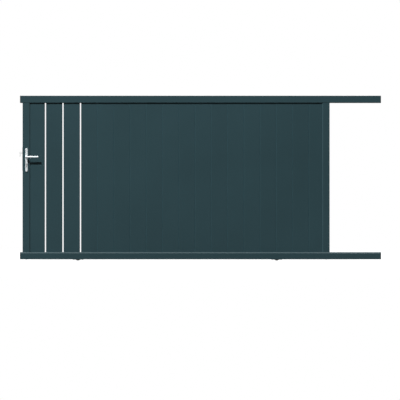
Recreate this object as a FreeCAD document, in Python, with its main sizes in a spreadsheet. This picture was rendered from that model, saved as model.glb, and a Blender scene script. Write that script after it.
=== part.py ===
import FreeCAD, Part
import math
import os
import Sketcher

# Sliding driveway gate, infilled with upright hollow boards, in millimetres.
# X runs along the gate toward the tail, Y away from the viewer, Z up.
# The origin is the middle of the bottom rail's underside.

doc = FreeCAD.newDocument("SlidingGate")
sheet = doc.addObject("Spreadsheet::Sheet", "Dims")

sizes = [
    ("gate_length", 3550),
    ("frame_height", 1609),
    ("top_depth", 60),
    ("base_depth", 80),
    ("stile_depth", 54),
    ("rail_height", 70),
    ("rail_wall", 2.5),
    ("top_bevel", 3),
    ("rail_bevel", 10),
    ("edge_round", 1),
    ("stub_length", 25),
    ("stile_width", 70),
    ("stile_bevel", 5),
    ("leaf_width", 3020),
    ("board_width", 160),
    ("board_depth", 28),
    ("board_seam", 3),
    ("board_skin", 2),
    ("board_shoulder", 1),
    ("board_tuck", 12.5),
    ("slot_width", 12.5),
    ("tongue_length", 8),
    ("tongue_thick", 8),
    ("tongue_gap", 0.3),
    ("tongue_end_gap", 1),
    ("groove_gap", 0.3),
    ("groove_depth", 12.8),
    ("cap_thick", 5),
    ("cap_plug", 15),
    ("cap_gap", 0.3),
    ("wheel_left_inset", 545),
    ("wheel_right_inset", 520),
    ("wheel_radius", 30),
    ("wheel_drop", 12),
    ("wheel_half_width", 10),
    ("wheel_groove", 7),
    ("wheel_groove_half", 8),
    ("wheel_hub_radius", 12),
    ("wheel_hub_half", 15.5),
    ("wheel_running_gap", 0.05),
    ("axle_radius", 6),
    ("carriage_length", 105),
    ("carriage_width", 43.4),
    ("carriage_drop", 3),
    ("carriage_gap", 0.3),
    ("carriage_round", 5),
    ("chamber_length", 72),
    ("chamber_width", 32),
    ("spindle_backset", 39),
    ("spindle_height", 1006),
    ("spindle_side", 8),
    ("spindle_length", 116),
    ("spindle_fit", 0.1),
    ("spindle_end_gap", 1.5),
    ("spindle_hole", 7),
    ("handle_hole", 10),
    ("plate_width", 23),
    ("plate_above", 87),
    ("plate_below", 145),
    ("plate_thick", 9),
    ("plate_bevel", 2),
    ("lever_reach", 119),
    ("lever_tall", 17),
    ("lever_thick", 14),
    ("lever_round", 5),
    ("lever_bevel", 1.5),
    ("lever_stand", 38),
    ("lever_neck", 8),
    ("lever_collar", 9.5),
    ("lever_collar_thick", 4),
    ("lever_plate_gap", 0.5),
    ("lock_width", 20),
    ("lock_deep", 49),
    ("lock_wall", 1.5),
    ("lock_below", 113),
    ("lock_above", 81),
    ("face_width", 24),
    ("face_thick", 3),
    ("face_below", 133),
    ("face_above", 97),
    ("face_round", 3),
    ("case_gap", 0.3),
    ("hook_reach", 31),
    ("hook_thick", 6),
    ("hook_drop", 20.5),
    ("hook_neck_rise", 6),
    ("hook_crown", 24),
    ("hook_barb", 12),
    ("hook_barb_slant", 3),
    ("hook_nose", 6),
    ("hook_shank", 23),
    ("hook_heel", 13),
    ("hook_boss_wall", 5),
    ("hook_round", 1.5),
    ("pivot_inset", 28),
    ("pivot_above", 25),
    ("pivot_radius", 4),
    ("pivot_fit", 0.05),
    ("hook_slot_rise", 0.5),
    ("hook_slot_tall", 48.5),
    ("hook_slot_width", 16.4),
    ("cylinder_below", 72),
    ("cylinder_radius", 8.5),
    ("cylinder_total", 33),
    ("cylinder_lobe", 10),
    ("cylinder_half", 39),
    ("cylinder_gap", 0.3),
    ("cylinder_waist", 5),
    ("cylinder_room", 1),
]
for row, (alias, value) in enumerate(sizes, 1):
    sheet.set("A%d" % row, alias)
    sheet.set("B%d" % row, str(value))
    sheet.setAlias("B%d" % row, alias)
doc.recompute()

made = []


def size(alias):
    return float(sheet.get(alias))


def new_body(label):
    body = doc.addObject("PartDesign::Body", "Body_" + label)
    body.Label = label
    made.append(body)
    return body


def place(body, axis, rule):
    body.setExpression("Placement.Base." + axis, rule)


def sketch_on(body, name, role, lift=None):
    plane = [item for item in body.Origin.OriginFeatures if item.Role == role][0]
    sketch = body.newObject("Sketcher::SketchObject", name)
    sketch.AttachmentSupport = [(plane, "")]
    sketch.MapMode = "FlatFace"
    if lift:
        sketch.setExpression("AttachmentOffset.Base.z", lift)
    return sketch


# A closed loop of straight lines whose corners are tied to the sheet.
def loop(sketch, corners):
    count = len(corners)
    first = sketch.GeometryCount
    spread = 40.0 + 10.0 * first
    rough = []
    for step in range(count):
        turn = 2 * math.pi * step / count
        rough.append(FreeCAD.Vector(spread * math.cos(turn), spread * math.sin(turn), 0))
    lines = []
    for step in range(count):
        lines.append(Part.LineSegment(rough[step], rough[(step + 1) % count]))
    sketch.addGeometry(lines, False)
    joins = []
    for step in range(count):
        joins.append(Sketcher.Constraint("Coincident", first + step, 2, first + (step + 1) % count, 1))
    sketch.addConstraint(joins)
    for step in range(count):
        across = sketch.addConstraint(Sketcher.Constraint("DistanceX", first + step, 1, rough[step].x))
        sketch.setExpression("Constraints[%d]" % across, corners[step][0])
        upward = sketch.addConstraint(Sketcher.Constraint("DistanceY", first + step, 1, rough[step].y))
        sketch.setExpression("Constraints[%d]" % upward, corners[step][1])


def rectangle(sketch, left, foot, right, top):
    loop(sketch, [(left, foot), (right, foot), (right, top), (left, top)])


def ring(sketch, across, upward, radius):
    number = sketch.addGeometry(Part.Circle(FreeCAD.Vector(1, 1, 0), FreeCAD.Vector(0, 0, 1), 5), False)
    spot = sketch.addConstraint(Sketcher.Constraint("DistanceX", number, 3, 1.0))
    sketch.setExpression("Constraints[%d]" % spot, across)
    spot = sketch.addConstraint(Sketcher.Constraint("DistanceY", number, 3, 1.0))
    sketch.setExpression("Constraints[%d]" % spot, upward)
    spot = sketch.addConstraint(Sketcher.Constraint("Radius", number, 5.0))
    sketch.setExpression("Constraints[%d]" % spot, radius)


def pad(body, name, sketch, length, side="One side", backward=False):
    feature = body.newObject("PartDesign::Pad", name)
    feature.Profile = sketch
    feature.SideType = side
    feature.Reversed = backward
    feature.setExpression("Length", length)
    body.Tip = feature
    return feature


def pocket(body, name, sketch, length):
    doc.recompute()
    before = body.Shape.Volume
    feature = body.newObject("PartDesign::Pocket", name)
    feature.Profile = sketch
    feature.SideType = "Symmetric"
    feature.setExpression("Length", length)
    body.Tip = feature
    doc.recompute()
    if body.Shape.Volume > before - 1:
        raise RuntimeError("nothing cut by " + name)
    return feature


def dress_edges(body, kind, name, value, rule, chosen):
    doc.recompute()
    base = body.Tip
    names = []
    for number, edge in enumerate(base.Shape.Edges, 1):
        if chosen(edge):
            names.append("Edge%d" % number)
    if not names:
        raise RuntimeError("no edge found for " + name)
    feature = body.newObject(kind, name)
    feature.Base = (base, names)
    feature.setExpression(value, rule)
    body.Tip = feature


def round_edges(body, name, radius, chosen):
    dress_edges(body, "PartDesign::Fillet", name, "Radius", radius, chosen)


def bevel_edges(body, name, width, chosen):
    dress_edges(body, "PartDesign::Chamfer", name, "Size", width, chosen)


half_top = "Dims.top_depth / 2"
half_base = "Dims.base_depth / 2"
half_stile = "Dims.stile_depth / 2"
half_board = "Dims.board_depth / 2"
half_groove = "(Dims.board_depth / 2 + Dims.groove_gap)"
half_cheek = "(Dims.board_depth / 2 + Dims.groove_gap + Dims.rail_wall)"
# How far the inside of a wall lags behind at a corner of 135 degrees.
wall_lag = "tan(22.5 deg) * Dims.rail_wall"
rail_start = "(-Dims.gate_length / 2 + Dims.cap_thick)"
rail_run = "Dims.gate_length - 2 * Dims.cap_thick"
leaf_start = "(-Dims.gate_length / 2 + Dims.stub_length)"
leaf_end = "(-Dims.gate_length / 2 + Dims.stub_length + Dims.leaf_width)"
spindle_place = "(" + leaf_start + " + Dims.spindle_backset)"
pivot_place = "(" + leaf_start + " + Dims.pivot_inset)"
wheel_left_place = "(" + leaf_start + " + Dims.wheel_left_inset)"
wheel_right_place = "(" + leaf_end + " - Dims.wheel_right_inset)"
plate_foot = "(Dims.spindle_height - Dims.plate_below)"
plate_top = "(Dims.spindle_height + Dims.plate_above)"
case_foot = "(Dims.spindle_height - Dims.lock_below)"
case_top = "(Dims.spindle_height + Dims.lock_above)"
face_foot = "(Dims.spindle_height - Dims.face_below)"
face_top = "(Dims.spindle_height + Dims.face_above)"
pivot_height = "(Dims.spindle_height + Dims.pivot_above)"
cylinder_height = "(Dims.spindle_height - Dims.cylinder_below)"
cylinder_sole = "(" + cylinder_height + " + Dims.cylinder_radius - Dims.cylinder_total)"
cylinder_waist = "(" + cylinder_height + " - Dims.cylinder_waist)"
spindle_x = -size("gate_length") / 2 + size("stub_length") + size("spindle_backset")


def along(edge, axis):
    if edge.Curve.TypeId != "Part::GeomLine":
        return False
    way = edge.tangentAt(edge.FirstParameter)
    return abs(abs(way.dot(axis)) - 1) < 1e-6


def build_top_rail():
    body = new_body("top_rail")
    sketch = sketch_on(body, "TopRailSection", "YZ_Plane", rail_start)
    top = "Dims.frame_height"
    foot = "Dims.frame_height - Dims.rail_height"
    roof = foot + " + Dims.groove_depth"
    shoulder = foot + " + Dims.top_bevel"
    brow = "(Dims.top_depth / 2 - Dims.top_bevel)"
    loop(sketch, [
        ("-" + brow, foot),
        ("-" + half_groove, foot),
        ("-" + half_groove, roof),
        (half_groove, roof),
        (half_groove, foot),
        (brow, foot),
        (half_top, shoulder),
        (half_top, top),
        ("-" + half_top, top),
        ("-" + half_top, shoulder),
    ])
    wall = " + Dims.rail_wall"
    inner = "(Dims.top_depth / 2 - Dims.rail_wall)"
    inner_brow = "(Dims.top_depth / 2 - Dims.top_bevel - " + wall_lag + ")"
    loop(sketch, [
        ("-" + inner_brow, foot + wall),
        ("-" + half_cheek, foot + wall),
        ("-" + half_cheek, roof + wall),
        (half_cheek, roof + wall),
        (half_cheek, foot + wall),
        (inner_brow, foot + wall),
        (inner, shoulder + " + " + wall_lag),
        (inner, top + " - Dims.rail_wall"),
        ("-" + inner, top + " - Dims.rail_wall"),
        ("-" + inner, shoulder + " + " + wall_lag),
    ])
    pad(body, "TopRailRun", sketch, rail_run)
    limit = size("top_depth") / 2 - 0.01
    round_edges(body, "TopRailEdges", "Dims.edge_round", lambda edge: along(
        edge, FreeCAD.Vector(1, 0, 0)) and abs(edge.Vertexes[0].Y) > limit)
    return body


def build_bottom_rail():
    body = new_body("bottom_rail")
    sketch = sketch_on(body, "BottomRailSection", "YZ_Plane", rail_start)
    top = "Dims.rail_height"
    shoulder = "Dims.rail_height - Dims.rail_bevel"
    brow = "(Dims.base_depth / 2 - Dims.rail_bevel)"
    floor = "Dims.rail_height - Dims.groove_depth"
    loop(sketch, [
        ("-" + half_base, "0"),
        (half_base, "0"),
        (half_base, shoulder),
        (brow, top),
        (half_groove, top),
        (half_groove, floor),
        ("-" + half_groove, floor),
        ("-" + half_groove, top),
        ("-" + brow, top),
        ("-" + half_base, shoulder),
    ])
    wall = " - Dims.rail_wall"
    inner = "(Dims.base_depth / 2 - Dims.rail_wall)"
    inner_brow = "(Dims.base_depth / 2 - Dims.rail_bevel - " + wall_lag + ")"
    loop(sketch, [
        ("-" + inner, "Dims.rail_wall"),
        (inner, "Dims.rail_wall"),
        (inner, shoulder + " - " + wall_lag),
        (inner_brow, top + wall),
        (half_cheek, top + wall),
        (half_cheek, floor + wall),
        ("-" + half_cheek, floor + wall),
        ("-" + half_cheek, top + wall),
        ("-" + inner_brow, top + wall),
        ("-" + inner, shoulder + " - " + wall_lag),
    ])
    pad(body, "BottomRailRun", sketch, rail_run)
    limit = size("base_depth") / 2 - 0.01
    round_edges(body, "BottomRailEdges", "Dims.edge_round", lambda edge: along(
        edge, FreeCAD.Vector(1, 0, 0)) and abs(edge.Vertexes[0].Y) > limit)
    slots = sketch_on(body, "WheelSlots", "XY_Plane")
    for where in (wheel_left_place, wheel_right_place):
        reach = "(Dims.carriage_length / 2 + Dims.carriage_gap)"
        girth = "(Dims.carriage_width / 2 + Dims.carriage_gap)"
        rectangle(slots, where + " - " + reach, "-" + girth, where + " + " + reach, girth)
    pocket(body, "WheelSlotCut", slots, "4 * Dims.rail_wall")
    side = size("carriage_width") / 2 + size("carriage_gap")
    round_edges(body, "WheelSlotCorners", "Dims.carriage_round + Dims.carriage_gap", lambda edge: along(
        edge, FreeCAD.Vector(0, 0, 1)) and abs(abs(edge.CenterOfMass.y) - side) < 0.01)
    return body


# One stile; its bevelled edges and its groove for the boards face the way that inward points.
def build_stile(label, outer, inward):
    body = new_body(label)
    sketch = sketch_on(body, label + "_section", "XY_Plane", "Dims.rail_height")
    ahead = " + " if inward > 0 else " - "
    behind = " - " if inward > 0 else " + "
    inner_edge = outer + ahead + "Dims.stile_width"
    shoulder = inner_edge + behind + "Dims.stile_bevel"
    brow = "(Dims.stile_depth / 2 - Dims.stile_bevel)"
    groove = inner_edge + behind + "Dims.groove_depth"
    loop(sketch, [
        (outer, "-" + half_stile),
        (shoulder, "-" + half_stile),
        (inner_edge, "-" + brow),
        (inner_edge, "-" + half_groove),
        (groove, "-" + half_groove),
        (groove, half_groove),
        (inner_edge, half_groove),
        (inner_edge, brow),
        (shoulder, half_stile),
        (outer, half_stile),
    ])
    outer_wall = outer + ahead + "Dims.rail_wall"
    lip = inner_edge + behind + "Dims.rail_wall"
    back = groove + behind + "Dims.rail_wall"
    inner_shoulder = shoulder + behind + wall_lag
    inner = "(Dims.stile_depth / 2 - Dims.rail_wall)"
    inner_brow = "(Dims.stile_depth / 2 - Dims.stile_bevel - " + wall_lag + ")"
    loop(sketch, [
        (outer_wall, "-" + inner),
        (inner_shoulder, "-" + inner),
        (lip, "-" + inner_brow),
        (lip, "-" + half_cheek),
        (back, "-" + half_cheek),
        (back, half_cheek),
        (lip, half_cheek),
        (lip, inner_brow),
        (inner_shoulder, inner),
        (outer_wall, inner),
    ])
    pad(body, label + "_run", sketch, "Dims.frame_height - 2 * Dims.rail_height")
    limit = size("stile_depth") / 2 - 0.01
    round_edges(body, label + "_edges", "Dims.edge_round", lambda edge: along(
        edge, FreeCAD.Vector(0, 0, 1)) and abs(edge.Vertexes[0].Y) > limit)
    return body


def build_closing_stile():
    body = build_stile("closing_stile", leaf_start, 1)
    holes = sketch_on(body, "HandleHoles", "XZ_Plane")
    ring(holes, spindle_place, "Dims.spindle_height", "Dims.handle_hole")
    lobe = "(Dims.cylinder_radius + Dims.cylinder_room)"
    rectangle(holes, spindle_place + " - " + lobe, cylinder_sole + " - Dims.cylinder_room",
              spindle_place + " + " + lobe, cylinder_height + " + " + lobe)
    pocket(body, "HandleHoleCut", holes, "2 * Dims.stile_depth")
    window = sketch_on(body, "CaseWindow", "YZ_Plane", leaf_start)
    girth = "(Dims.lock_width / 2 + Dims.case_gap)"
    rectangle(window, "-" + girth, case_foot + " - Dims.case_gap", girth, case_top + " + Dims.case_gap")
    pocket(body, "CaseWindowCut", window, "4 * Dims.rail_wall")
    return body


# One hollow board; each edge is plain, tongue or groove.
def build_board(number, left_place, width, left_edge, right_edge):
    label = "infill_board_%02d" % number
    body = new_body(label)
    place(body, "x", left_place)
    place(body, "z", "Dims.rail_height - Dims.board_tuck")
    sketch = sketch_on(body, label + "_section", "XY_Plane")
    thin = "Dims.tongue_thick / 2"
    wide = "(Dims.tongue_thick / 2 + Dims.tongue_gap)"
    deep = "(Dims.tongue_length + Dims.tongue_end_gap)"
    corners = [
        ("Dims.board_seam", "-" + half_board),
        (width + " - Dims.board_seam", "-" + half_board),
        (width, "-" + half_board + " + Dims.board_seam"),
    ]
    if right_edge == "tongue":
        corners += [
            (width, "-" + thin),
            (width + " + Dims.tongue_length", "-" + thin),
            (width + " + Dims.tongue_length", thin),
            (width, thin),
        ]
    corners += [
        (width, half_board + " - Dims.board_seam"),
        (width + " - Dims.board_seam", half_board),
        ("Dims.board_seam", half_board),
        ("0", half_board + " - Dims.board_seam"),
    ]
    if left_edge == "groove":
        corners += [
            ("0", wide),
            (deep, wide),
            (deep, "-" + wide),
            ("0", "-" + wide),
        ]
    corners += [("0", "-" + half_board + " + Dims.board_seam")]
    loop(sketch, corners)
    near = "Dims.board_seam + Dims.board_shoulder"
    if left_edge == "groove":
        near = deep + " + Dims.board_skin"
    skin = "(Dims.board_depth / 2 - Dims.board_skin)"
    far = width + " - Dims.board_seam - Dims.board_shoulder"
    web = "Dims.board_skin / 2"
    rectangle(sketch, near, "-" + skin, width + " / 2 - " + web, skin)
    rectangle(sketch, width + " / 2 + " + web, "-" + skin, far, skin)
    pad(body, label + "_run", sketch, "Dims.frame_height - 2 * Dims.rail_height + 2 * Dims.board_tuck")
    return body


# Boards set apart by slots, then joined ones; the last is cut to what is left before the stile.
def build_boards():
    pitch = "(Dims.board_width + Dims.slot_width)"
    start = "(" + leaf_start + " + Dims.stile_width - Dims.board_tuck)"
    full = "Dims.board_width"
    slots = 3
    for count in range(slots):
        build_board(count + 1, start + " + %d * " % count + pitch, full, "plain", "plain")
    joined = "(" + start + " + %d * " % slots + pitch + ")"
    room = size("leaf_width") - 2 * size("stile_width") + 2 * size("board_tuck")
    room = room - slots * (size("board_width") + size("slot_width"))
    least = 2 * (size("board_tuck") + size("tongue_length"))
    whole = int((room - least) / size("board_width"))
    build_board(slots + 1, joined, full, "plain", "tongue")
    for count in range(1, whole):
        build_board(slots + 1 + count, joined + " + %d * Dims.board_width" % count, full, "groove", "tongue")
    last = joined + " + %d * Dims.board_width" % whole
    rest = "(" + leaf_end + " - Dims.stile_width + Dims.board_tuck - (" + last + "))"
    build_board(slots + 1 + whole, last, rest, "groove", "plain")


def build_cap(label, side, foot, depth, upper):
    body = new_body(label)
    if side < 0:
        lift = "-Dims.gate_length / 2"
    else:
        lift = "Dims.gate_length / 2 - Dims.cap_thick"
    sketch = sketch_on(body, label + "_outline", "YZ_Plane", lift)
    top = foot + " + Dims.rail_height"
    half = depth + " / 2"
    if upper:
        shoulder = foot + " + Dims.top_bevel"
        brow = "(" + half + " - Dims.top_bevel)"
        loop(sketch, [
            ("-" + brow, foot),
            (brow, foot),
            (half, shoulder),
            (half, top),
            ("-" + half, top),
            ("-" + half, shoulder),
        ])
    else:
        shoulder = top + " - Dims.rail_bevel"
        brow = "(" + half + " - Dims.rail_bevel)"
        loop(sketch, [
            ("-" + half, foot),
            (half, foot),
            (half, shoulder),
            (brow, top),
            ("-" + brow, top),
            ("-" + half, shoulder),
        ])
    pad(body, label + "_flange", sketch, "Dims.cap_thick")
    outer = side * size("gate_length") / 2
    round_edges(body, label + "_edges", "Dims.edge_round", lambda edge: abs(
        edge.CenterOfMass.x - outer) < 0.01)
    if side < 0:
        lift = "-Dims.gate_length / 2 + Dims.cap_thick"
    else:
        lift = "Dims.gate_length / 2 - Dims.cap_thick - Dims.cap_plug"
    plug = sketch_on(body, label + "_plug", "YZ_Plane", lift)
    girth = "(" + half + " - Dims.rail_wall - Dims.cap_gap)"
    if upper:
        low = foot + " + Dims.groove_depth + Dims.rail_wall + Dims.cap_gap"
        high = top + " - Dims.rail_wall - Dims.cap_gap"
    else:
        low = foot + " + Dims.rail_wall + Dims.cap_gap"
        high = top + " - Dims.groove_depth - Dims.rail_wall - Dims.cap_gap"
    rectangle(plug, "-" + girth, low, girth, high)
    pad(body, label + "_spigot", plug, "Dims.cap_plug")
    return body


def build_wheel_set(side, where):
    centre = "Dims.wheel_radius - Dims.wheel_drop"
    wheel = new_body("wheel_" + side)
    place(wheel, "x", where)
    place(wheel, "z", centre)
    sketch = sketch_on(wheel, "wheel_%s_section" % side, "YZ_Plane")
    bore = "Dims.axle_radius + Dims.wheel_running_gap"
    half = "Dims.wheel_half_width"
    tread = "Dims.wheel_radius - Dims.wheel_groove"
    loop(sketch, [
        ("-Dims.wheel_hub_half", bore),
        ("-Dims.wheel_hub_half", "Dims.wheel_hub_radius"),
        ("-" + half, "Dims.wheel_hub_radius"),
        ("-" + half, "Dims.wheel_radius"),
        ("-Dims.wheel_groove_half", "Dims.wheel_radius"),
        ("-Dims.wheel_groove_half", tread),
        ("Dims.wheel_groove_half", tread),
        ("Dims.wheel_groove_half", "Dims.wheel_radius"),
        (half, "Dims.wheel_radius"),
        (half, "Dims.wheel_hub_radius"),
        ("Dims.wheel_hub_half", "Dims.wheel_hub_radius"),
        ("Dims.wheel_hub_half", bore),
    ])
    turned = wheel.newObject("PartDesign::Revolution", "wheel_%s_turned" % side)
    turned.Profile = sketch
    turned.ReferenceAxis = (sketch, ["H_Axis"])
    turned.Angle = 360
    wheel.Tip = turned

    carriage = new_body("wheel_carriage_" + side)
    place(carriage, "x", where)
    outline = sketch_on(carriage, "carriage_%s_outline" % side, "XY_Plane", "-Dims.carriage_drop")
    rectangle(outline, "-Dims.carriage_length / 2", "-Dims.carriage_width / 2",
              "Dims.carriage_length / 2", "Dims.carriage_width / 2")
    rectangle(outline, "-Dims.chamber_length / 2", "-Dims.chamber_width / 2",
              "Dims.chamber_length / 2", "Dims.chamber_width / 2")
    pad(carriage, "carriage_%s_block" % side, outline,
        "Dims.carriage_drop + Dims.rail_height - Dims.groove_depth - Dims.rail_wall")
    corner = size("carriage_width") / 2
    round_edges(carriage, "carriage_%s_corners" % side, "Dims.carriage_round", lambda edge: along(
        edge, FreeCAD.Vector(0, 0, 1)) and abs(abs(edge.CenterOfMass.y) - corner) < 0.01)
    bores = sketch_on(carriage, "carriage_%s_bore" % side, "XZ_Plane")
    ring(bores, "0", centre, "Dims.axle_radius + Dims.wheel_running_gap")
    pocket(carriage, "carriage_%s_bore_cut" % side, bores, "2 * Dims.carriage_width")

    axle = new_body("wheel_axle_" + side)
    place(axle, "x", where)
    pin = sketch_on(axle, "axle_%s_round" % side, "XZ_Plane")
    ring(pin, "0", centre, "Dims.axle_radius")
    pad(axle, "axle_%s_pin" % side, pin, "Dims.carriage_width", "Symmetric")


# An upright outline with half-round ends, sized from the sheet.
def capsule(sketch, across, foot, top, radius, rough):
    x, low, high, r = rough
    up = FreeCAD.Vector(0, 0, 1)
    sides = []
    for start, end in (((x - r, high), (x - r, low)), ((x + r, low), (x + r, high))):
        line = Part.LineSegment(FreeCAD.Vector(*start, 0), FreeCAD.Vector(*end, 0))
        sides.append(sketch.addGeometry(line))
    left, right = sides
    arcs = []
    for centre, turn in ((low, math.pi), (high, 0)):
        circle = Part.Circle(FreeCAD.Vector(x, centre, 0), up, r)
        arcs.append(sketch.addGeometry(Part.ArcOfCircle(circle, turn, turn + math.pi)))
    base, head = arcs
    sketch.addConstraint([
        Sketcher.Constraint("Tangent", left, 2, base, 1),
        Sketcher.Constraint("Tangent", base, 2, right, 1),
        Sketcher.Constraint("Tangent", right, 2, head, 1),
        Sketcher.Constraint("Tangent", head, 2, left, 1),
        Sketcher.Constraint("Vertical", left),
    ])
    centres = [
        ("DistanceX", base, across, x),
        ("DistanceY", base, foot, low),
        ("DistanceY", head, top, high),
    ]
    for kind, item, rule, value in centres:
        spot = sketch.addConstraint(Sketcher.Constraint(kind, item, 3, value))
        sketch.setExpression("Constraints[%d]" % spot, rule)
    spot = sketch.addConstraint(Sketcher.Constraint("Radius", base, r))
    sketch.setExpression("Constraints[%d]" % spot, radius)


def build_handle_plate(label, side):
    body = new_body(label)
    # The plane's own normal points to the front, so the rear plate is lifted the other way.
    lift = half_stile
    if side > 0:
        lift = "-(" + half_stile + " + Dims.plate_thick)"
    sketch = sketch_on(body, label + "_outline", "XZ_Plane", lift)
    r = size("plate_width") / 2
    foot = size("spindle_height") - size("plate_below")
    top = size("spindle_height") + size("plate_above")
    end_round = "Dims.plate_width / 2"
    capsule(sketch, spindle_place, plate_foot + " + " + end_round, plate_top + " - " + end_round, end_round,
            (spindle_x, foot + r, top - r, r))
    pad(body, label + "_slab", sketch, "Dims.plate_thick")
    face = side * (size("stile_depth") / 2 + size("plate_thick"))
    bevel_edges(body, label + "_bevel", "Dims.plate_bevel", lambda edge: abs(
        edge.CenterOfMass.y - face) < 0.01)
    hole = sketch_on(body, label + "_spindle_hole", "XZ_Plane")
    ring(hole, spindle_place, "Dims.spindle_height", "Dims.spindle_hole")
    pocket(body, label + "_spindle_cut", hole, "2 * Dims.stile_depth")
    barrel = sketch_on(body, label + "_barrel", "XZ_Plane")
    ring(barrel, spindle_place, cylinder_height, "Dims.cylinder_radius + Dims.cylinder_gap")
    pocket(body, label + "_barrel_cut", barrel, "2 * Dims.stile_depth")
    lobe = sketch_on(body, label + "_lobe", "XZ_Plane")
    half = "(Dims.cylinder_lobe / 2 + Dims.cylinder_gap)"
    rectangle(lobe, spindle_place + " - " + half, cylinder_sole + " - Dims.cylinder_gap",
              spindle_place + " + " + half, cylinder_waist)
    pocket(body, label + "_lobe_cut", lobe, "2 * Dims.stile_depth")
    return body


# A bar standing off the plate on a round neck, with a square socket for the spindle.
def build_lever(label, side):
    body = new_body(label)
    face = "(Dims.stile_depth / 2 + Dims.plate_thick)"
    stand = "(Dims.lever_stand - Dims.lever_thick / 2)"
    near = "(" + face + " + Dims.lever_plate_gap)"
    inner = "(" + face + " + " + stand + ")"

    def lift(start, length):
        if side < 0:
            return start
        return "-(" + start + " + " + length + ")"

    arm = sketch_on(body, label + "_arm", "XZ_Plane", lift(inner, "Dims.lever_thick"))
    half = "Dims.lever_tall / 2"
    rectangle(arm, spindle_place + " - " + half, "Dims.spindle_height - " + half,
              spindle_place + " + Dims.lever_reach", "Dims.spindle_height + " + half)
    pad(body, label + "_arm_bar", arm, "Dims.lever_thick")
    round_edges(body, label + "_soft", "Dims.lever_round", lambda edge: along(edge, FreeCAD.Vector(1, 0, 0)))
    tip = spindle_x + size("lever_reach")
    bevel_edges(body, label + "_tip", "Dims.lever_bevel", lambda edge: abs(
        edge.CenterOfMass.x - tip) < 0.01)
    run = "(" + stand + " - Dims.lever_plate_gap + Dims.lever_round)"
    neck = sketch_on(body, label + "_neck", "XZ_Plane", lift(near, run))
    ring(neck, spindle_place, "Dims.spindle_height", "Dims.lever_neck")
    pad(body, label + "_neck_round", neck, run)
    collar = sketch_on(body, label + "_collar", "XZ_Plane", lift(near, "Dims.lever_collar_thick"))
    ring(collar, spindle_place, "Dims.spindle_height", "Dims.lever_collar")
    pad(body, label + "_collar_disc", collar, "Dims.lever_collar_thick")
    socket = sketch_on(body, label + "_socket", "XZ_Plane", lift(near, "0"))
    bore = "(Dims.spindle_side / 2 + Dims.spindle_fit)"
    rectangle(socket, spindle_place + " - " + bore, "Dims.spindle_height - " + bore,
              spindle_place + " + " + bore, "Dims.spindle_height + " + bore)
    depth = "(Dims.spindle_length / 2 - " + near + " + Dims.spindle_end_gap)"
    pocket(body, label + "_socket_cut", socket, "2 * " + depth)
    return body


def build_spindle():
    body = new_body("spindle")
    sketch = sketch_on(body, "SpindleSquare", "XZ_Plane")
    half = "Dims.spindle_side / 2"
    rectangle(sketch, spindle_place + " - " + half, "Dims.spindle_height - " + half,
              spindle_place + " + " + half, "Dims.spindle_height + " + half)
    pad(body, "SpindleBar", sketch, "Dims.spindle_length", "Symmetric")
    return body


def build_cylinder():
    body = new_body("lock_cylinder")
    sketch = sketch_on(body, "BarrelRound", "XZ_Plane")
    ring(sketch, spindle_place, cylinder_height, "Dims.cylinder_radius")
    pad(body, "Barrel", sketch, "2 * Dims.cylinder_half", "Symmetric")
    lobe = sketch_on(body, "BarrelLobe", "XZ_Plane")
    half = "Dims.cylinder_lobe / 2"
    rectangle(lobe, spindle_place + " - " + half, cylinder_sole, spindle_place + " + " + half, cylinder_waist)
    pad(body, "BarrelFoot", lobe, "2 * Dims.cylinder_half", "Symmetric")
    return body


def build_lock_case():
    body = new_body("lock_case")
    sketch = sketch_on(body, "CaseOutline", "YZ_Plane", leaf_start)
    rectangle(sketch, "-Dims.lock_width / 2", case_foot, "Dims.lock_width / 2", case_top)
    pad(body, "CaseBlock", sketch, "Dims.lock_deep")
    hollow = sketch_on(body, "CaseHollow", "YZ_Plane", leaf_start)
    inner = "(Dims.lock_width / 2 - Dims.lock_wall)"
    rectangle(hollow, "-" + inner, case_foot + " + Dims.lock_wall", inner, case_top + " - Dims.lock_wall")
    pocket(body, "CaseHollowCut", hollow, "2 * (Dims.lock_deep - Dims.lock_wall)")
    holes = sketch_on(body, "CaseHoles", "XZ_Plane")
    ring(holes, spindle_place, "Dims.spindle_height", "Dims.spindle_hole")
    ring(holes, pivot_place, pivot_height, "Dims.pivot_radius + Dims.pivot_fit")
    lobe = "(Dims.cylinder_radius + Dims.cylinder_gap)"
    rectangle(holes, spindle_place + " - " + lobe, cylinder_sole + " - Dims.cylinder_gap",
              spindle_place + " + " + lobe, cylinder_height + " + " + lobe)
    pocket(body, "CaseHoleCut", holes, "2 * Dims.lock_width")
    return body


# The strip that closes the lock and is screwed to the stile's outer face.
def build_faceplate():
    body = new_body("lock_faceplate")
    sketch = sketch_on(body, "FaceOutline", "YZ_Plane", leaf_start + " - Dims.face_thick")
    rectangle(sketch, "-Dims.face_width / 2", face_foot, "Dims.face_width / 2", face_top)
    slot_foot = "(" + pivot_height + " + Dims.hook_slot_rise)"
    rectangle(sketch, "-Dims.hook_slot_width / 2", slot_foot,
              "Dims.hook_slot_width / 2", slot_foot + " + Dims.hook_slot_tall")
    pad(body, "FaceStrip", sketch, "Dims.face_thick")
    side = size("face_width") / 2
    round_edges(body, "FaceCorners", "Dims.face_round", lambda edge: along(
        edge, FreeCAD.Vector(1, 0, 0)) and abs(abs(edge.CenterOfMass.y) - side) < 0.01)
    return body


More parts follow.
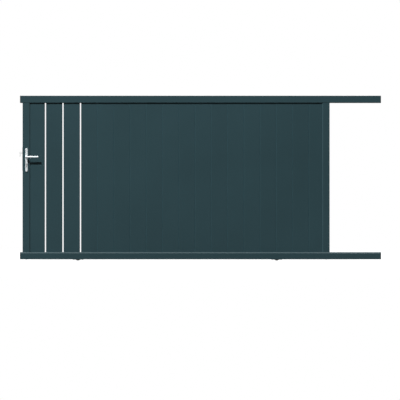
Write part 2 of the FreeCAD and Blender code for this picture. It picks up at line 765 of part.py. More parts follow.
# A barbed plate that swings up on its pivot to let the strike go.
def build_hook():
    body = new_body("hook_bolt")
    sketch = sketch_on(body, "HookOutline", "XZ_Plane")
    tip = leaf_start + " - Dims.hook_reach"
    inner = tip + " + Dims.hook_barb"
    foot = "(" + pivot_height + " - Dims.hook_drop)"
    neck = pivot_height + " + Dims.hook_neck_rise"
    crown = "(" + pivot_height + " + Dims.hook_crown)"
    boss = "(Dims.pivot_radius + Dims.hook_boss_wall)"
    loop(sketch, [
        (tip, foot),
        (inner, foot + " + Dims.hook_barb_slant"),
        (inner, neck),
        (pivot_place + " - Dims.hook_shank", neck),
        (pivot_place + " - Dims.hook_heel", pivot_height + " - " + boss),
        (pivot_place + " + Dims.hook_boss_wall", pivot_height + " - " + boss),
        (pivot_place + " + " + boss, pivot_height + " - Dims.hook_boss_wall"),
        (pivot_place + " + " + boss, pivot_height + " + " + boss),
        (pivot_place + " - Dims.hook_nose", crown),
        (tip + " + Dims.hook_nose", crown),
        (tip, crown + " - Dims.hook_nose"),
    ])
    pad(body, "HookPlate", sketch, "Dims.hook_thick", "Symmetric")
    round_edges(body, "HookCorners", "Dims.hook_round", lambda edge: along(edge, FreeCAD.Vector(0, 1, 0)))
    bore = sketch_on(body, "HookBore", "XZ_Plane")
    ring(bore, pivot_place, pivot_height, "Dims.pivot_radius + Dims.pivot_fit")
    pocket(body, "HookBoreCut", bore, "2 * Dims.hook_thick")
    pin = new_body("hook_pivot")
    sketch = sketch_on(pin, "PivotRound", "XZ_Plane")
    ring(sketch, pivot_place, pivot_height, "Dims.pivot_radius")
    pad(pin, "PivotPin", sketch, "Dims.lock_width", "Symmetric")


build_top_rail()
build_bottom_rail()
build_closing_stile()
build_stile("rear_stile", leaf_end, -1)
build_boards()
top_foot = "Dims.frame_height - Dims.rail_height"
build_cap("top_cap_left", -1, top_foot, "Dims.top_depth", True)
build_cap("top_cap_right", 1, top_foot, "Dims.top_depth", True)
build_cap("bottom_cap_left", -1, "0", "Dims.base_depth", False)
build_cap("bottom_cap_right", 1, "0", "Dims.base_depth", False)
build_wheel_set("left", wheel_left_place)
build_wheel_set("right", wheel_right_place)
build_handle_plate("handle_plate_front", -1)
build_handle_plate("handle_plate_rear", 1)
build_lever("lever_front", -1)
build_lever("lever_rear", 1)
build_spindle()
build_cylinder()
build_lock_case()
build_faceplate()
build_hook()
doc.recompute()

for item in doc.Objects:
    if "Invalid" in item.State or "Error" in item.State:
        raise RuntimeError("failed: " + item.Label)

os.makedirs("parts", exist_ok=True)
for body in made:
    shape = body.Shape
    if shape.isNull() or not shape.isValid():
        raise RuntimeError("bad shape: " + body.Label)
    if len(shape.Solids) != 1:
        raise RuntimeError("not one solid: " + body.Label)
    shape.exportStep("parts/" + body.Label + ".step")
    box = shape.BoundBox
    print("%-22s %9.0f mm3  x %8.1f %8.1f  y %7.1f %7.1f  z %7.1f %7.1f" % (
        body.Label, shape.Volume, box.XMin, box.XMax, box.YMin, box.YMax, box.ZMin, box.ZMax))
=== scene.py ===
import math
import bpy
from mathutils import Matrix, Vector


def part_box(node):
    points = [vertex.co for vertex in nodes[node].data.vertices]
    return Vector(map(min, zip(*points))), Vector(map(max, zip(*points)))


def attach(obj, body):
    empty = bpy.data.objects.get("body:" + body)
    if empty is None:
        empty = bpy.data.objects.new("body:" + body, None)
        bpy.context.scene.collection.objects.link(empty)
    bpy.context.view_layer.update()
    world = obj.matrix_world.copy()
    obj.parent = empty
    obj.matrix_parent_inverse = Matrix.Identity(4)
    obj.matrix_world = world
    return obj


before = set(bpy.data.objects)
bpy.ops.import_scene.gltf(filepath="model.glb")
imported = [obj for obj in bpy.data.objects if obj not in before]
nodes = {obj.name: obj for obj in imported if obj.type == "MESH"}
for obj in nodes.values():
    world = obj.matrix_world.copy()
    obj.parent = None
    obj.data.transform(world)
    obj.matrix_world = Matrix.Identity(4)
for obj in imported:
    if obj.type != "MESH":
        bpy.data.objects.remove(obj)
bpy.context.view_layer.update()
bpy.ops.object.select_all(action="DESELECT")


# Camera: a long lens level with the photo's middle, so that upright lines stay upright

cameraSetup = {
    "metresPerPixel": 0.00983,
    "photoSide": 400,
    "framePixel": (200.5, 177.5),  # where the middle of the gate's frame lies in the photo
    "distance": 25.0,
    "sensor": 36.0,
    "clipEnd": 200.0,
}


def makeCamera(setup):
    low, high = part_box("bottom_rail")[0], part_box("top_rail")[1]
    middle = (low + high) / 2
    scale = setup["metresPerPixel"]
    half = setup["photoSide"] / 2
    aimX = middle.x - (setup["framePixel"][0] - half) * scale
    aimZ = middle.z - (half - setup["framePixel"][1]) * scale
    bpy.ops.object.camera_add(location=(aimX, low.y - setup["distance"], aimZ),
                              rotation=(math.pi / 2, 0, 0))
    camera = bpy.context.object
    camera.name = "photoCamera"
    camera.data.sensor_width = setup["sensor"]
    camera.data.lens = setup["sensor"] * setup["distance"] / (setup["photoSide"] * scale)
    camera.data.clip_end = setup["clipEnd"]
    bpy.context.scene.camera = camera


makeCamera(cameraSetup)
bpy.context.scene.view_settings.view_transform = "Standard"
print("camera placed")


# Helpers for shader trees: a number, vector or colour is set on a socket, and an output is joined to it

def feed(tree, socket, value):
    if isinstance(value, (int, float, tuple)):
        socket.default_value = value
    else:
        tree.links.new(value, socket)


def addMath(tree, operation, first, second=0.0):
    node = tree.nodes.new("ShaderNodeMath")
    node.operation = operation
    feed(tree, node.inputs[0], first)
    feed(tree, node.inputs[1], second)
    return node.outputs[0]


def addRange(tree, value, span, result=(0.0, 1.0), smooth=False):
    node = tree.nodes.new("ShaderNodeMapRange")
    if smooth:
        node.interpolation_type = "SMOOTHSTEP"
    for label, number in zip(("From Min", "From Max", "To Min", "To Max"), span + result):
        node.inputs[label].default_value = number
    tree.links.new(value, node.inputs["Value"])
    return node.outputs[0]


def addNoise(tree, vector, scale, detail, roughness=0.5):
    node = tree.nodes.new("ShaderNodeTexNoise")
    node.inputs["Detail"].default_value = detail
    node.inputs["Roughness"].default_value = roughness
    tree.links.new(vector, node.inputs["Vector"])
    feed(tree, node.inputs["Scale"], scale)
    return node.outputs["Fac"]


def addStretch(tree, vector, sizes):
    node = tree.nodes.new("ShaderNodeVectorMath")
    node.operation = "MULTIPLY"
    tree.links.new(vector, node.inputs[0])
    node.inputs[1].default_value = sizes
    return node.outputs[0]


def splitVector(tree, vector):
    node = tree.nodes.new("ShaderNodeSeparateXYZ")
    tree.links.new(vector, node.inputs[0])
    return node.outputs


def mixShaders(tree, share, first, second):
    node = tree.nodes.new("ShaderNodeMixShader")
    for socket, value in zip(node.inputs, (share, first, second)):
        tree.links.new(value, socket)
    return node.outputs[0]


def mixColour(tree, share, first, second):
    node = tree.nodes.new("ShaderNodeMix")
    node.data_type = "RGBA"
    feed(tree, node.inputs["Factor"], share)
    for label, value in (("A", first), ("B", second)):
        socket = [item for item in node.inputs if item.name == label and item.type == "RGBA"][0]
        feed(tree, socket, value)
    return [item for item in node.outputs if item.type == "RGBA"][0]


def addBackground(tree, colour, strength):
    node = tree.nodes.new("ShaderNodeBackground")
    feed(tree, node.inputs["Color"], colour)
    feed(tree, node.inputs["Strength"], strength)
    return node.outputs[0]


def addBump(tree, shader, height, distance):
    node = tree.nodes.new("ShaderNodeBump")
    node.inputs["Distance"].default_value = distance
    node.inputs["Strength"].default_value = 1.0
    tree.links.new(height, node.inputs["Height"])
    tree.links.new(node.outputs["Normal"], shader.inputs["Normal"])


# Lamps: a small key from the upper left of the front, a broad lamp behind, weak light from all round

lampSetup = {
    "keyPath": (0.467, 1.0, -1.0),  # the way the key light travels
    "keyAim": (-1.3, 0.0, 1.4),
    "keyDistance": 21.0,
    "keySize": 1.1,
    "keyPower": 5940.0,
    "rearPlace": (2.2, 5.9, 9.8),
    "rearAim": (0.0, 0.0, 0.8),
    "rearSize": 8.0,
    "rearPower": 2050.0,
    "fillColour": (0.96, 0.98, 1.0, 1),
    "fillStrength": 0.06,
    "whiteColour": (1, 1, 1, 1),  # what the camera sees behind the gate
    "whiteStrength": 1.0,
    "mirrorColour": (0.8, 0.8, 0.8, 1),
    "roomMirror": 0.15,  # what polished faces see before and behind the gate
    "endMirror": 1.20,  # and at its ends
    "roofMirror": 3.20,  # and overhead
    "panelSpan": (0.70, 0.95),  # how far toward an end or overhead its panel starts, and is full
}


def makeLamp(name, place, aim, shape, side, power):
    bpy.ops.object.light_add(type="AREA", location=place)
    lamp = bpy.context.object
    lamp.name = name
    lamp.data.shape = shape
    lamp.data.size = side
    lamp.data.energy = power
    lamp.rotation_euler = (Vector(aim) - Vector(place)).to_track_quat("-Z", "Y").to_euler()
    lamp.visible_camera = False


def makeWorld(setup):
    world = bpy.data.worlds.new("studio")
    bpy.context.scene.world = world
    world.use_nodes = True
    tree = world.node_tree
    tree.nodes.clear()
    out = tree.nodes.new("ShaderNodeOutputWorld")
    paths = tree.nodes.new("ShaderNodeLightPath").outputs
    way = splitVector(tree, tree.nodes.new("ShaderNodeTexCoord").outputs["Generated"])
    # polished faces see a dim studio with bright panels at both ends of the gate and overhead
    ends = addRange(tree, addMath(tree, "ABSOLUTE", way["X"]), setup["panelSpan"],
                    (setup["roomMirror"], setup["endMirror"]), True)
    roof = addRange(tree, way["Z"], setup["panelSpan"], (setup["roomMirror"], setup["roofMirror"]), True)
    mirror = addBackground(tree, setup["mirrorColour"], addMath(tree, "MAXIMUM", ends, roof))
    fill = addBackground(tree, setup["fillColour"], setup["fillStrength"])
    white = addBackground(tree, setup["whiteColour"], setup["whiteStrength"])
    polished = addMath(tree, "MAXIMUM", paths["Is Glossy Ray"], paths["Is Transmission Ray"])
    unseen = mixShaders(tree, polished, fill, mirror)
    tree.links.new(mixShaders(tree, paths["Is Camera Ray"], unseen, white), out.inputs["Surface"])


keyAim = Vector(lampSetup["keyAim"])
keyPlace = keyAim - Vector(lampSetup["keyPath"]).normalized() * lampSetup["keyDistance"]
makeLamp("keyLamp", keyPlace, keyAim, "DISK", lampSetup["keySize"], lampSetup["keyPower"])
makeLamp("rearLamp", lampSetup["rearPlace"], lampSetup["rearAim"], "SQUARE", lampSetup["rearSize"],
         lampSetup["rearPower"])
makeWorld(lampSetup)
print("lamps and world set")


# Floor: pale, shown white to the camera, with a soft shadow kept

floorSetup = {
    "side": 14.0,
    "shownPaleness": 0.86,  # the floor as the camera sees it
    "bouncePaleness": 0.13,  # and as it lights the gate from below
    "whiteShare": 0.80,
    "whiteStrength": 1.12,
    "fadeSpan": (3.2, 6.0),
}


def makeFloor(setup):
    ground = min(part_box("wheel_left")[0].z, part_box("wheel_right")[0].z)
    bpy.ops.mesh.primitive_plane_add(size=setup["side"], location=(0, 0, ground))
    floor = bpy.context.object
    floor.name = "floor"
    material = bpy.data.materials.new("paleFloor")
    material.use_nodes = True
    tree = material.node_tree
    tree.nodes.clear()
    out = tree.nodes.new("ShaderNodeOutputMaterial")
    toCamera = tree.nodes.new("ShaderNodeLightPath").outputs["Is Camera Ray"]
    matt = tree.nodes.new("ShaderNodeBsdfDiffuse")
    paleness = (setup["bouncePaleness"], setup["shownPaleness"])
    tree.links.new(addRange(tree, toCamera, (0.0, 1.0), paleness), matt.inputs["Color"])
    glow = tree.nodes.new("ShaderNodeEmission")
    glow.inputs["Strength"].default_value = setup["whiteStrength"]
    share = addMath(tree, "MULTIPLY", toCamera, setup["whiteShare"])
    lit = mixShaders(tree, share, matt.outputs[0], glow.outputs[0])
    # it fades into the white backdrop, and from below it is clear, so that the underside can be looked at
    reach = tree.nodes.new("ShaderNodeVectorMath")
    reach.operation = "LENGTH"
    tree.links.new(tree.nodes.new("ShaderNodeTexCoord").outputs["Object"], reach.inputs[0])
    fade = addRange(tree, reach.outputs["Value"], setup["fadeSpan"], smooth=True)
    below = tree.nodes.new("ShaderNodeNewGeometry").outputs["Backfacing"]
    hidden = addMath(tree, "MAXIMUM", below, fade)
    clear = tree.nodes.new("ShaderNodeBsdfTransparent")
    tree.links.new(mixShaders(tree, hidden, lit, clear.outputs[0]), out.inputs["Surface"])
    floor.data.materials.append(material)


makeFloor(floorSetup)
print("floor laid")


# Shared shader groups: each takes a place on the piece and gives heights and masks

def newGroup(name, values, results):
    group = bpy.data.node_groups.new(name, "ShaderNodeTree")
    group.interface.new_socket(name="Vector", in_out="INPUT", socket_type="NodeSocketVector")
    for label, value in values.items():
        socket = group.interface.new_socket(name=label, in_out="INPUT", socket_type="NodeSocketFloat")
        socket.default_value = value
    for label in results:
        group.interface.new_socket(name=label, in_out="OUTPUT", socket_type="NodeSocketFloat")
    given = group.nodes.new("NodeGroupInput").outputs
    return group, given, group.nodes.new("NodeGroupOutput").inputs


def faceNormal(tree):
    return splitVector(tree, tree.nodes.new("ShaderNodeNewGeometry").outputs["Normal"])


# The pebbled skin of baked powder: fine pebbles, a slower swell and a faint drift of tone

skinSetup = {
    "scales": {"Pebbles": 1000.0, "Swell": 160.0, "Drift": 1.6},
    "pebbleDetail": 2.0,
    "pebbleRoughness": 0.6,
    "pebbleShare": 0.45,  # the height of the pebbles on the swell
    "swellDetail": 1.0,
    "driftDetail": 3.0,
    "speckleSpan": (0.35, 0.65),
    "driftSpan": (0.3, 0.7),
}


def makePowderSkin(setup):
    group, given, made = newGroup("powderSkin", setup["scales"], ("Height", "Speckle", "Drift"))
    place = given["Vector"]
    fine = addNoise(group, place, given["Pebbles"], setup["pebbleDetail"], setup["pebbleRoughness"])
    swell = addNoise(group, place, given["Swell"], setup["swellDetail"])
    drift = addNoise(group, place, given["Drift"], setup["driftDetail"])
    height = addMath(group, "ADD", addMath(group, "MULTIPLY", fine, setup["pebbleShare"]), swell)
    group.links.new(height, made["Height"])
    group.links.new(addRange(group, fine, setup["speckleSpan"]), made["Speckle"])
    group.links.new(addRange(group, drift, setup["driftSpan"]), made["Drift"])
    return group


# Painted highlight: a mask of the slanted and rounded edges between a front or rear face and a side face,
# where a paler tone stands in for light caught on them

edgeHighlightSetup = {
    "riseSpan": (0.25, 0.5),  # how far sideways a face looks where an edge begins
    "fallSpan": (0.85, 0.95),  # and where it ends
    "patchScale": 14.0,
    "patchDetail": 2.0,
    "patchSpan": (0.3, 0.6),
    "patchResult": (0.75, 1.0),
}


def makePaintedEdgeHighlight(setup):
    group, given, made = newGroup("paintedEdgeHighlight", {}, ("Mask",))
    sideways = addMath(group, "ABSOLUTE", faceNormal(group)["X"])
    rising = addRange(group, sideways, setup["riseSpan"], smooth=True)
    falling = addRange(group, sideways, setup["fallSpan"], (1.0, 0.0), True)
    patches = addNoise(group, given["Vector"], setup["patchScale"], setup["patchDetail"])
    patches = addRange(group, patches, setup["patchSpan"], setup["patchResult"])
    mask = addMath(group, "MULTIPLY", addMath(group, "MULTIPLY", rising, falling), patches)
    group.links.new(mask, made["Mask"])
    return group


# Faint straight lines that an extruded length keeps from its die

lineSetup = {"scales": {"Lines": 90.0}, "detail": 3.0, "roughness": 0.7}


def makeDieLines(setup):
    group, given, made = newGroup("dieLines", setup["scales"], ("Height",))
    lines = addNoise(group, given["Vector"], given["Lines"], setup["detail"], setup["roughness"])
    group.links.new(lines, made["Height"])
    return group


# Pale dust on faces that look up, thinner where the noise is low

dustSetup = {
    "scales": {"Clumps": 40.0, "Amount": 0.3},
    "upwardSpan": (0.5, 0.95),
    "clumpDetail": 4.0,
    "clumpSpan": (0.35, 0.75),
    "clumpResult": (0.3, 1.0),
}


def makeSettledDust(setup):
    group, given, made = newGroup("settledDust", setup["scales"], ("Mask",))
    upward = addRange(group, faceNormal(group)["Z"], setup["upwardSpan"], smooth=True)
    clumps = addNoise(group, given["Vector"], given["Clumps"], setup["clumpDetail"])
    clumps = addRange(group, clumps, setup["clumpSpan"], setup["clumpResult"])
    mask = addMath(group, "MULTIPLY", addMath(group, "MULTIPLY", upward, clumps), given["Amount"])
    group.links.new(mask, made["Mask"])
    return group


# Short hair lines of brushed metal, with a few deeper ones

grainSetup = {
    "scales": {"Hairs": 1.0},
    "hairDetail": 3.0,
    "hairRoughness": 0.7,
    "deepScale": 0.3,  # of the scale of the hair lines
    "deepDetail": 2.0,
    "deepShare": 0.5,
    "sheenSpan": (0.5, 1.0),
}


def makeBrushedGrain(setup):
    group, given, made = newGroup("brushedGrain", setup["scales"], ("Height", "Sheen"))
    place = given["Vector"]
    fine = addNoise(group, place, given["Hairs"], setup["hairDetail"], setup["hairRoughness"])
    wider = addMath(group, "MULTIPLY", given["Hairs"], setup["deepScale"])
    deep = addNoise(group, place, wider, setup["deepDetail"])
    height = addMath(group, "ADD", fine, addMath(group, "MULTIPLY", deep, setup["deepShare"]))
    group.links.new(height, made["Height"])
    group.links.new(addRange(group, height, setup["sheenSpan"]), made["Sheen"])
    return group


powderSkin = makePowderSkin(skinSetup)
paintedEdgeHighlight = makePaintedEdgeHighlight(edgeHighlightSetup)
dieLines = makeDieLines(lineSetup)
settledDust = makeSettledDust(dustSetup)
brushedGrain = makeBrushedGrain(grainSetup)
print("shader groups made")


# What every finish starts from

def newFinish(name, metallic, roughness, specular):
    material = bpy.data.materials.new(name)
    material.use_nodes = True
    tree = material.node_tree
    shader = tree.nodes["Principled BSDF"]
    shader.inputs["Metallic"].default_value = metallic
    shader.inputs["Roughness"].default_value = roughness
    shader.inputs["Specular IOR Level"].default_value = specular
    place = tree.nodes.new("ShaderNodeTexCoord").outputs["Object"]
    return material, tree, shader, place


def useGroup(tree, group, vector, **values):
    node = tree.nodes.new("ShaderNodeGroup")
    node.node_tree = group
    tree.links.new(vector, node.inputs["Vector"])
    for label, value in values.items():
        node.inputs[label].default_value = value
    return node.outputs


def shade(colour, factor):
    return tuple(part * factor for part in colour) + (1,)


def varyTone(tree, mask, colour, setup):
    return mixColour(tree, mask, shade(colour, setup["darker"]), shade(colour, setup["lighter"]))


def varyRoughness(tree, mask, roughness, setup):
    return addRange(tree, mask, (0.0, 1.0), (roughness - setup["smoother"], roughness + setup["rougher"]))


# Powder coat on rails, stiles and boards

coatSetup = {
    "frameColour": (0.0232, 0.0530, 0.0620),
    "boardColour": (0.0222, 0.0520, 0.0613),
    "edgeHighlightLift": 1.55,  # painted highlight: the slanted and rounded edges are made paler, as if catching light
    "dustColour": (0.30, 0.31, 0.30, 1),
    "dustRoughness": 0.25,
    "roughness": 0.32,
    "smoother": 0.05,
    "rougher": 0.07,
    "specular": 0.35,
    "lighter": 1.06,
    "darker": 0.94,
    "speckLift": 1.5,
    "speckShare": 0.10,
    "bump": 0.00003,
    "lineBump": 0.5,
    "frameDust": 0.10,
    "boardDust": 0.06,
    "alongRail": (0.02, 1.0, 1.0),  # draws the die lines out along a length that lies
    "alongStile": (1.0, 1.0, 0.02),  # and along one that stands
}


def makeCoat(name, colour, lineStretch, dust, setup=coatSetup):
    material, tree, shader, place = newFinish(name, 0.0, setup["roughness"], setup["specular"])
    skin = useGroup(tree, powderSkin, place)
    lines = useGroup(tree, dieLines, addStretch(tree, place, lineStretch))
    highlightEdges = useGroup(tree, paintedEdgeHighlight, place)
    film = useGroup(tree, settledDust, place, Amount=dust)
    # painted highlight: the slanted and rounded edges are mixed toward a paler tone
    tone = mixColour(tree, highlightEdges["Mask"], varyTone(tree, skin["Drift"], colour, setup),
                     shade(colour, setup["edgeHighlightLift"]))
    specks = addMath(tree, "MULTIPLY", skin["Speckle"], setup["speckShare"])
    tone = mixColour(tree, specks, tone, shade(colour, setup["speckLift"]))
    tone = mixColour(tree, film["Mask"], tone, setup["dustColour"])
    tree.links.new(tone, shader.inputs["Base Color"])
    rough = varyRoughness(tree, skin["Speckle"], setup["roughness"], setup)
    dusty = addMath(tree, "MULTIPLY", film["Mask"], setup["dustRoughness"])
    tree.links.new(addMath(tree, "ADD", rough, dusty), shader.inputs["Roughness"])
    relief = addMath(tree, "MULTIPLY", lines["Height"], setup["lineBump"])
    addBump(tree, shader, addMath(tree, "ADD", skin["Height"], relief), setup["bump"])
    return material


railCoat = makeCoat("railCoat", coatSetup["frameColour"], coatSetup["alongRail"], coatSetup["frameDust"])
stileCoat = makeCoat("stileCoat", coatSetup["frameColour"], coatSetup["alongStile"], coatSetup["frameDust"])


# Moulded plastic of caps and carriages

capSetup = {"colour": (0.012, 0.016, 0.018), "roughness": 0.58, "bump": 0.00009}
carriageSetup = {"colour": (0.010, 0.010, 0.011), "roughness": 0.48, "bump": 0.00005}
plasticSetup = {
    "specular": 0.35,
    "pebbles": 1500.0,
    "swell": 500.0,
    "dust": 0.35,
    "darker": 0.9,
    "lighter": 1.25,
    "smoother": 0.06,
    "rougher": 0.1,
}


def makePlastic(name, setup, shared=plasticSetup):
    material, tree, shader, place = newFinish(name, 0.0, setup["roughness"], shared["specular"])
    skin = useGroup(tree, powderSkin, place, Pebbles=shared["pebbles"], Swell=shared["swell"])
    film = useGroup(tree, settledDust, place, Amount=shared["dust"])
    tone = varyTone(tree, skin["Drift"], setup["colour"], shared)
    tone = mixColour(tree, film["Mask"], tone, coatSetup["dustColour"])
    tree.links.new(tone, shader.inputs["Base Color"])
    rough = varyRoughness(tree, skin["Speckle"], setup["roughness"], shared)
    tree.links.new(rough, shader.inputs["Roughness"])
    addBump(tree, shader, skin["Height"], setup["bump"])
    return material


# Metals of handle, lock, wheels and screws

metalSetup = {
    "handle": {"colour": (0.86, 0.92, 0.94), "metallic": 0.75, "roughness": 0.46,
               "stretch": (900.0, 900.0, 60.0), "bump": 0.00001},
    "lever": {"colour": (0.82, 0.88, 0.91), "metallic": 0.85, "roughness": 0.46,
              "stretch": (60.0, 900.0, 900.0), "bump": 0.00001},
    "lockSteel": {"colour": (0.55, 0.56, 0.56), "metallic": 1.0, "roughness": 0.32,
                  "stretch": (900.0, 900.0, 50.0), "bump": 0.00001},
    "screwSteel": {"colour": (0.60, 0.60, 0.59), "metallic": 1.0, "roughness": 0.28,
                   "stretch": (900.0, 900.0, 900.0), "bump": 0.000006},
    "nickel": {"colour": (0.82, 0.83, 0.84), "metallic": 0.85, "roughness": 0.34,
               "stretch": (700.0, 120.0, 700.0), "bump": 0.000006},
    "hookSteel": {"colour": (0.94, 0.95, 0.95), "metallic": 0.45, "roughness": 0.42,
                  "stretch": (120.0, 700.0, 700.0), "bump": 0.000008},
    "wheelZinc": {"colour": (0.52, 0.54, 0.56), "metallic": 1.0, "roughness": 0.36,
                  "stretch": (260.0, 900.0, 260.0), "bump": 0.00001},
}
sheenSetup = {"specular": 0.5, "darker": 0.93, "lighter": 1.04, "smoother": 0.05, "rougher": 0.09}


def makeMetal(name, setup, shared=sheenSetup):
    material, tree, shader, place = newFinish(name, setup["metallic"], setup["roughness"], shared["specular"])
    grain = useGroup(tree, brushedGrain, addStretch(tree, place, setup["stretch"]))
    tree.links.new(varyTone(tree, grain["Sheen"], setup["colour"], shared), shader.inputs["Base Color"])
    rough = varyRoughness(tree, grain["Sheen"], setup["roughness"], shared)
    tree.links.new(rough, shader.inputs["Roughness"])
    addBump(tree, shader, grain["Height"], setup["bump"])
    return material


capPlastic = makePlastic("capPlastic", capSetup)
mouldedPlastic = makePlastic("mouldedPlastic", carriageSetup)
metals = {name: makeMetal(name, setup) for name, setup in metalSetup.items()}
print("finishes made")


def dress(node, material):
    piece = nodes[node]
    piece.data.materials.clear()
    piece.data.materials.append(material)


for name in ("top_rail", "bottom_rail"):
    dress(name, railCoat)
for name in ("closing_stile", "rear_stile"):
    dress(name, stileCoat)

# each board has a shade of its own, made up within two percent
boardTones = [1.00, 0.985, 1.01, 0.995, 1.015, 0.99, 1.0, 0.98, 1.01, 0.995, 1.005, 0.985, 1.0, 1.01, 0.99,
              1.0, 0.985, 0.995]
for number, factor in enumerate(boardTones, 1):
    colour = tuple(part * factor for part in coatSetup["boardColour"])
    dress("infill_board_%02d" % number,
          makeCoat("boardCoat%02d" % number, colour, coatSetup["alongStile"], coatSetup["boardDust"]))

for name in ("top_cap_left", "top_cap_right", "bottom_cap_left", "bottom_cap_right"):
    dress(name, capPlastic)
for side in ("left", "right"):
    dress("wheel_" + side, metals["wheelZinc"])
    dress("wheel_carriage_" + side, mouldedPlastic)
    dress("wheel_axle_" + side, metals["lockSteel"])
for side in ("front", "rear"):
    dress("handle_plate_" + side, metals["handle"])
    dress("lever_" + side, metals["lever"])
for name in ("spindle", "lock_case", "lock_faceplate", "hook_pivot"):
    dress(name, metals["lockSteel"])
dress("hook_bolt", metals["hookSteel"])
dress("lock_cylinder", metals["nickel"])
print("gate dressed")


# Small fixings that the frame leaves out

fixingSetup = {
    "smoothAngle": 35,
    "rimSegments": 4,
    "headSides": 48,
    "socketSides": 6,
}


def finishPiece(piece, name, material, body):
    bpy.ops.object.select_all(action="DESELECT")
    piece.select_set(True)
    bpy.context.view_layer.objects.active = piece
    bpy.ops.object.transform_apply(location=True, rotation=True, scale=True)
    bpy.ops.object.shade_smooth_by_angle(angle=math.radians(fixingSetup["smoothAngle"]))
    piece.name = name
    piece.data.materials.append(material)
    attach(piece, body)


def roundRims(piece, width):
    bevel = piece.modifiers.new("rims", "BEVEL")
    bevel.width = width
    bevel.segments = fixingSetup["rimSegments"]
    bevel.limit_method = "ANGLE"
    bpy.context.view_layer.objects.active = piece
    bpy.ops.object.modifier_apply(modifier=bevel.name)


def cutAway(piece, cutter):
    cut = piece.modifiers.new("cut", "BOOLEAN")
    cut.operation = "DIFFERENCE"
    cut.solver = "EXACT"
    cut.object = cutter
    bpy.context.view_layer.objects.active = piece
    bpy.ops.object.modifier_apply(modifier=cut.name)
    bpy.data.objects.remove(cutter, do_unlink=True)


def makeScrew(name, seat, outward, setup, body="gate"):
    bpy.ops.object.select_all(action="DESELECT")
    axis = Vector(outward)
    turn = axis.to_track_quat("Z", "Y").to_euler()
    middle = seat + axis * (setup["rise"] - setup["depth"] / 2)
    bpy.ops.mesh.primitive_cylinder_add(vertices=fixingSetup["headSides"], radius=setup["radius"],
                                        depth=setup["depth"], location=middle, rotation=turn)
    screw = bpy.context.object
    roundRims(screw, setup["rounding"])
    bpy.ops.mesh.primitive_cylinder_add(vertices=fixingSetup["socketSides"], radius=setup["socket"],
                                        depth=setup["depth"], location=seat + axis * setup["rise"],
                                        rotation=turn)
    cutAway(screw, bpy.context.object)
    finishPiece(screw, name, metals["screwSteel"], body)


faceScrew = {"radius": 0.0042, "depth": 0.0022, "rise": 0.0007, "rounding": 0.0006, "socket": 0.0020,
             "inset": 0.0085}
plateScrew = {"radius": 0.0040, "depth": 0.0030, "rise": 0.0008, "rounding": 0.0007, "socket": 0.0021,
              "inset": 0.0130}
railScrew = {"radius": 0.0052, "depth": 0.0040, "rise": 0.0028, "rounding": 0.0014, "socket": 0.0026,
             "spread": 0.0205}
wheelBolt = {"radius": 0.0064, "depth": 0.0030, "rise": 0.0012, "rounding": 0.0006, "socket": 0.0032,
             "inset": 0.00825}
grubScrew = {"radius": 0.0026, "depth": 0.0030, "rise": 0.0002, "rounding": 0.0002, "socket": 0.0014,
             "along": 0.018, "neckRadius": 0.008}


def screwLock():
    low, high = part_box("lock_faceplate")
    for end, height in (("foot", low.z + faceScrew["inset"]), ("top", high.z - faceScrew["inset"])):
        makeScrew("face_screw_" + end, Vector((low.x, (low.y + high.y) / 2, height)), (-1, 0, 0), faceScrew)
    low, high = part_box("handle_plate_rear")
    for end, height in (("foot", low.z + plateScrew["inset"]), ("top", high.z - plateScrew["inset"])):
        makeScrew("plate_screw_" + end, Vector(((low.x + high.x) / 2, high.y, height)), (0, 1, 0), plateScrew)


def screwStiles():
    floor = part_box("bottom_rail")[0].z
    for node in ("closing_stile", "rear_stile"):
        low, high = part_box(node)
        for side, offset in (("front", -railScrew["spread"]), ("rear", railScrew["spread"])):
            seat = Vector(((low.x + high.x) / 2, offset, floor))
            makeScrew("%s_screw_%s" % (node, side), seat, (0, 0, -1), railScrew)


def boltCarriages():
    for side in ("left", "right"):
        low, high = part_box("wheel_carriage_" + side)
        for end, place in (("near", low.x + wheelBolt["inset"]), ("far", high.x - wheelBolt["inset"])):
            seat = Vector((place, (low.y + high.y) / 2, low.z))
            makeScrew("carriage_%s_bolt_%s" % (side, end), seat, (0, 0, -1), wheelBolt)


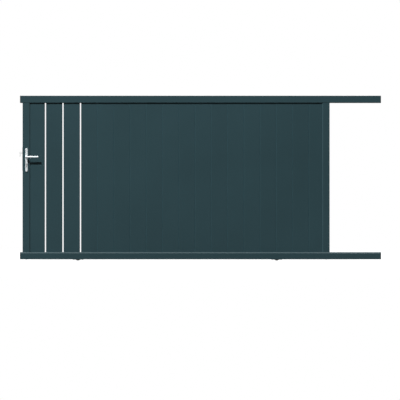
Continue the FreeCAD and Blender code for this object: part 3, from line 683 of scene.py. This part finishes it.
def pinLevers():
    low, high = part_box("spindle")
    height = (low.z + high.z) / 2 - grubScrew["neckRadius"]
    for side, sign in (("front", -1), ("rear", 1)):
        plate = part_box("handle_plate_" + side)
        face = plate[0].y if sign < 0 else plate[1].y
        seat = Vector(((low.x + high.x) / 2, face + sign * grubScrew["along"], height))
        makeScrew("lever_grub_screw_" + side, seat, (0, 0, -1), grubScrew, "lever_handle")


screwLock()
screwStiles()
boltCarriages()
pinLevers()


# Key plugs: the keyway is a narrow upright slot with a wider step in its lower half

plugSetup = {
    "radius": 0.0062,
    "sides": 64,
    "rise": 0.0006,
    "rounding": 0.6,  # of the rise
    "keyWide": 0.0019,
    "keyTall": 0.0078,
    "keyStep": 0.0011,
    "keyDeep": 0.0012,
    "cutDepth": 1.5,  # of keyDeep
    "stepTall": 0.35,  # of keyTall
    "stepDrop": 0.2,  # of keyTall
}


def makeKeyPlug(side, sign, setup=plugSetup):
    low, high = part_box("lock_cylinder")
    face = low.y if sign < 0 else high.y
    middle = Vector(((low.x + high.x) / 2, face, high.z - (high.x - low.x) / 2))
    turn = (-sign * math.pi / 2, 0, 0)
    bpy.ops.object.select_all(action="DESELECT")
    bpy.ops.mesh.primitive_cylinder_add(vertices=setup["sides"], radius=setup["radius"],
                                        depth=2 * setup["rise"], location=middle, rotation=turn)
    plug = bpy.context.object
    roundRims(plug, setup["rise"] * setup["rounding"])
    outer = middle + Vector((0, sign * setup["rise"], 0))
    slot = (setup["keyWide"], setup["keyTall"], 0.0)
    step = (setup["keyWide"] + setup["keyStep"], setup["keyTall"] * setup["stepTall"],
            setup["keyTall"] * setup["stepDrop"])
    for wide, tall, drop in (slot, step):
        bpy.ops.mesh.primitive_cube_add(size=1, location=outer - Vector((0, 0, drop)),
                                        scale=(wide, setup["keyDeep"] * setup["cutDepth"], tall))
        cutAway(plug, bpy.context.object)
    finishPiece(plug, "key_plug_" + side, metals["nickel"], "gate")


makeKeyPlug("front", -1)
makeKeyPlug("rear", 1)
print("screws, bolts and key plugs added")
